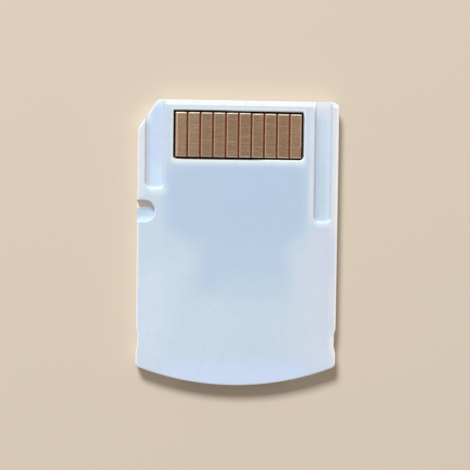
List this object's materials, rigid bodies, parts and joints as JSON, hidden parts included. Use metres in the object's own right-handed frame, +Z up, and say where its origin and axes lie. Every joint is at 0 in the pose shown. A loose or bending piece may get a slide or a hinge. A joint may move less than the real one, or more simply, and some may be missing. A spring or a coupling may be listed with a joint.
{
  "type": "memory card adapter",
  "caption": "Flat plastic adapter with a slot for a micro memory card in its curved end and a window of contacts near its other end, keyed by grooves, a notch and a cut corner.",
  "frame": {"origin": "middle of the footprint, on the flat front face that the adapter lies on", "axes": "+Z up through the thickness, out of the face with the contacts; +Y along the length, towards the end that goes into the console; +X across the width, away from the cut corner"},
  "size_m": [0.022, 0.0312, 0.0021],
  "materials": {
    "casing_plastic": "cool white translucent moulded plastic, satin",
    "board": "black solder mask over red-brown laminate",
    "gold_contact": "thin dull gold plating with fine rubbed lines",
    "insulator": "black moulded insulator",
    "spring_metal": "gold-flashed stamped spring strip",
    "tin": "tinned copper",
    "ceramic": "tan ceramic chip with tinned ends"
  },
  "bodies": {
    "root": {"back_shell": "casing_plastic", "front_shell": "casing_plastic", "circuit_board": "board", "contact_block": "insulator", "solder_lands": "tin", "contact_pad_1": "gold_contact", "contact_pad_2": "gold_contact", "contact_pad_3": "gold_contact", "contact_pad_4": "gold_contact", "contact_pad_5": "gold_contact", "contact_pad_6": "gold_contact", "contact_pad_7": "gold_contact", "contact_pad_8": "gold_contact", "contact_pad_9": "gold_contact", "contact_pad_10": "gold_contact", "spring_contact_1": "spring_metal", "spring_contact_2": "spring_metal", "spring_contact_3": "spring_metal", "spring_contact_4": "spring_metal", "spring_contact_5": "spring_metal", "spring_contact_6": "spring_metal", "spring_contact_7": "spring_metal", "spring_contact_8": "spring_metal", "capacitor_1": "ceramic", "capacitor_2": "ceramic"}
  },
  "joints": []
}
